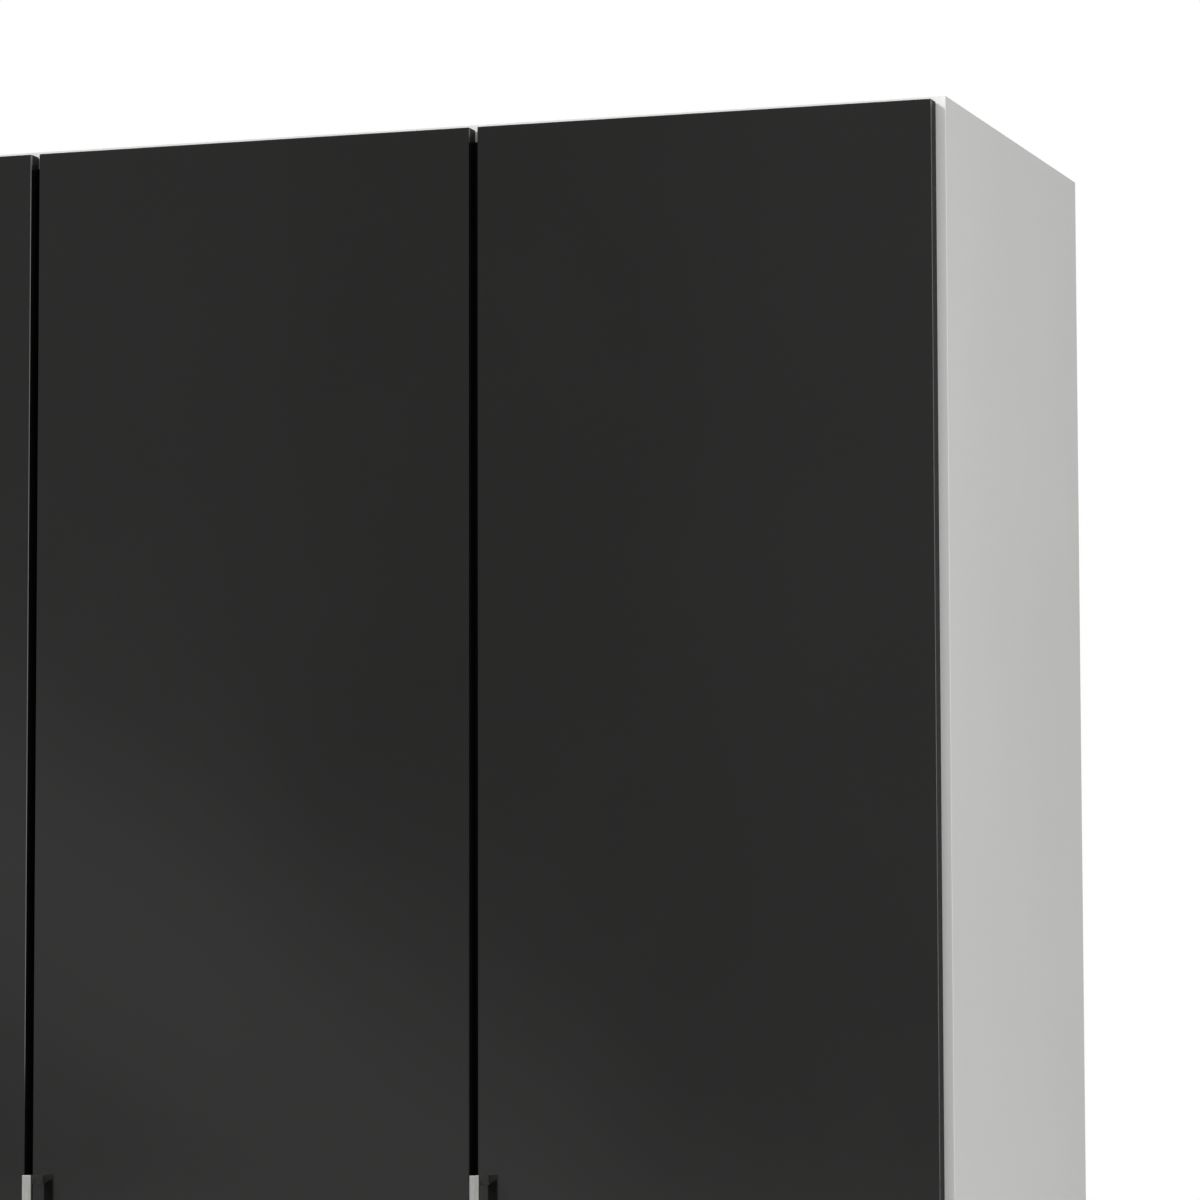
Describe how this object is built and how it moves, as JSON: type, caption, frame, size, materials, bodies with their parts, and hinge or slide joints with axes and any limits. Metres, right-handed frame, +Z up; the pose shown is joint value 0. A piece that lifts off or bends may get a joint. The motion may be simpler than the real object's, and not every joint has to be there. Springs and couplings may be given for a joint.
{
  "type": "wardrobe",
  "caption": "Tall free-standing wardrobe with hinged black glass-faced doors, slim vertical pull handles, a white carcass, hanging rails and shelves.",
  "frame": {"origin": "on the floor, under the middle of the wardrobe's box", "axes": "+X to the right seen from the front, the doors face -Y, +Z up"},
  "size_m": [1.5, 0.61, 2.36],
  "materials": {
    "white_board": "white melamine, satin",
    "white_hardboard": "white lacquered",
    "black_board": "black melamine, satin",
    "black_glass": "back-painted, glossy",
    "satin_nickel": "brushed, satin",
    "nickel_steel": "nickel plated",
    "chromed_steel": "polished",
    "zinc_steel": "zinc plated",
    "zinc_casting": "die-cast",
    "grey_plastic": "moulded",
    "clear_rubber": "soft clear dots"
  },
  "bodies": {
    "carcass": {"side_panel_left": "white_board", "side_panel_right": "white_board", "partition_left": "white_board", "partition_right": "white_board", "top_panel": "white_board", "bottom_panel": "white_board", "plinth_front": "white_board", "plinth_rear": "white_board", "partition_edging": "black_board", "back_panel_left": "white_hardboard", "back_panel_middle": "white_hardboard", "back_panel_right": "white_hardboard", "hat_shelf_left": "white_board", "hat_shelf_middle": "white_board", "shelf_1": "white_board", "shelf_2": "white_board", "shelf_3": "white_board", "shelf_4": "white_board", "shelf_5": "white_board", "hanging_rail_left": "chromed_steel", "hanging_rail_middle": "chromed_steel", "rail_sockets": "grey_plastic", "rail_socket_screws": "zinc_steel", "hinge_plate_screws": "zinc_steel", "joining_screws": "zinc_steel", "cam_bolts": "zinc_steel", "wall_bracket_screws": "zinc_steel", "cam_locks": "zinc_casting", "shelf_pins": "nickel_steel", "hinge_plates": "nickel_steel", "hinge_pins": "nickel_steel", "wall_brackets": "nickel_steel", "hinge_arms_left": "nickel_steel", "hinge_arms_middle": "nickel_steel", "hinge_arms_right": "nickel_steel"},
    "door_left": {"door_core_left": "black_board", "door_glass_left": "black_glass", "handle_left": "satin_nickel", "handle_screws_left": "zinc_steel", "hinge_cups_left": "nickel_steel", "cup_screws_left": "zinc_steel", "door_bumpers_left": "clear_rubber"},
    "door_middle": {"door_core_middle": "black_board", "door_glass_middle": "black_glass", "handle_middle": "satin_nickel", "handle_screws_middle": "zinc_steel", "hinge_cups_middle": "nickel_steel", "cup_screws_middle": "zinc_steel", "door_bumpers_middle": "clear_rubber"},
    "door_right": {"door_core_right": "black_board", "door_glass_right": "black_glass", "handle_right": "satin_nickel", "handle_screws_right": "zinc_steel", "hinge_cups_right": "nickel_steel", "cup_screws_right": "zinc_steel", "door_bumpers_right": "clear_rubber"},
    "links_left": {"hinge_links_left": "nickel_steel"},
    "links_middle": {"hinge_links_middle": "nickel_steel"},
    "links_right": {"hinge_links_right": "nickel_steel"}
  },
  "joints": [
    {"name": "door_left_hinge", "type": "hinge", "parent": "carcass", "child": "door_left", "pos_m": [-0.257, -0.271, 1.21], "axis": [0, 0, 1], "range_deg": [0, 95]},
    {"name": "links_left_pivot", "type": "hinge", "parent": "carcass", "child": "links_left", "pos_m": [-0.2666, -0.2527, 1.21], "axis": [0, 0, 1], "range_deg": [0, 58]},
    {"name": "door_middle_hinge", "type": "hinge", "parent": "carcass", "child": "door_middle", "pos_m": [0.2395, -0.271, 1.21], "axis": [0, 0, 1], "range_deg": [0, 95]},
    {"name": "links_middle_pivot", "type": "hinge", "parent": "carcass", "child": "links_middle", "pos_m": [0.2299, -0.2527, 1.21], "axis": [0, 0, 1], "range_deg": [0, 58]},
    {"name": "door_right_hinge", "type": "hinge", "parent": "carcass", "child": "door_right", "pos_m": [0.736, -0.271, 1.21], "axis": [0, 0, 1], "range_deg": [0, 95]},
    {"name": "links_right_pivot", "type": "hinge", "parent": "carcass", "child": "links_right", "pos_m": [0.7264, -0.2527, 1.21], "axis": [0, 0, 1], "range_deg": [0, 58]}
  ],
  "couplings": [
    {"joint": "links_left_pivot", "follows": "door_left_hinge", "ratio": 0.61},
    {"joint": "links_middle_pivot", "follows": "door_middle_hinge", "ratio": 0.61},
    {"joint": "links_right_pivot", "follows": "door_right_hinge", "ratio": 0.61}
  ]
}
